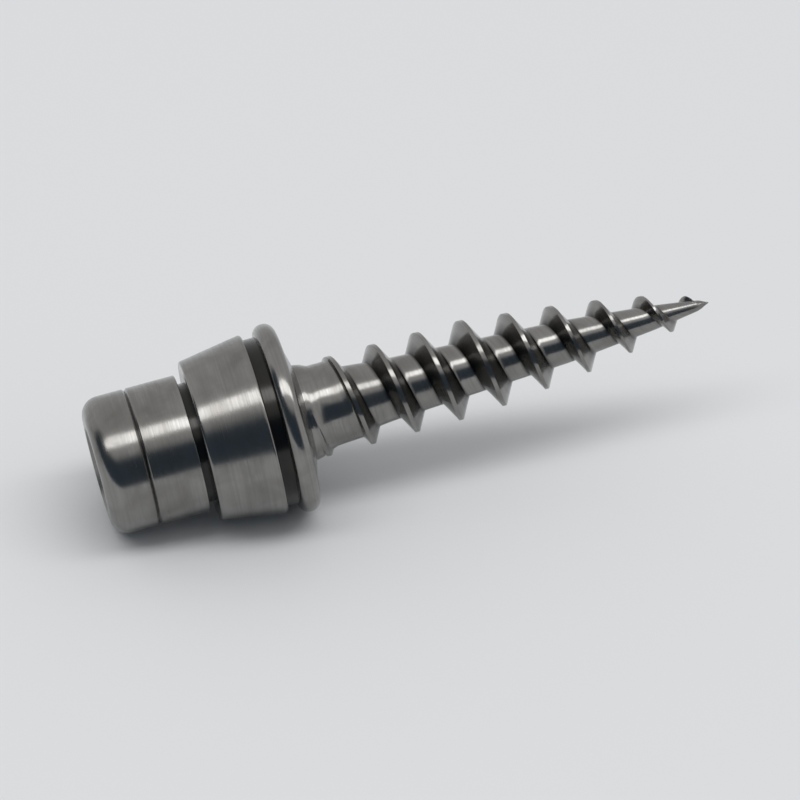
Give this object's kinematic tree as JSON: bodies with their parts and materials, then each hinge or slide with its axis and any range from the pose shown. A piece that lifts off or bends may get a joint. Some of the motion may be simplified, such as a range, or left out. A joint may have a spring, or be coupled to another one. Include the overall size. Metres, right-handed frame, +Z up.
{
  "type": "orthodontic mini screw",
  "caption": "Small turned titanium bone screw: round head with a hidden drive recess, flared collar, rounded flange and slim self-drilling thread that tapers to a sharp point",
  "frame": {"origin": "on the floor under the middle of the screw as it lies at rest", "axes": "+X runs from the head towards the point, level with the floor; +Z is up; the screw's own axis rises 8.4 degrees towards the point"},
  "size_m": [0.0118, 0.0036, 0.0036],
  "materials": {
    "titanium_alloy": "finely turned and bright, a little darker in the grooves and thread roots"
  },
  "bodies": {
    "root": {"mini_screw": "titanium_alloy"}
  },
  "joints": []
}
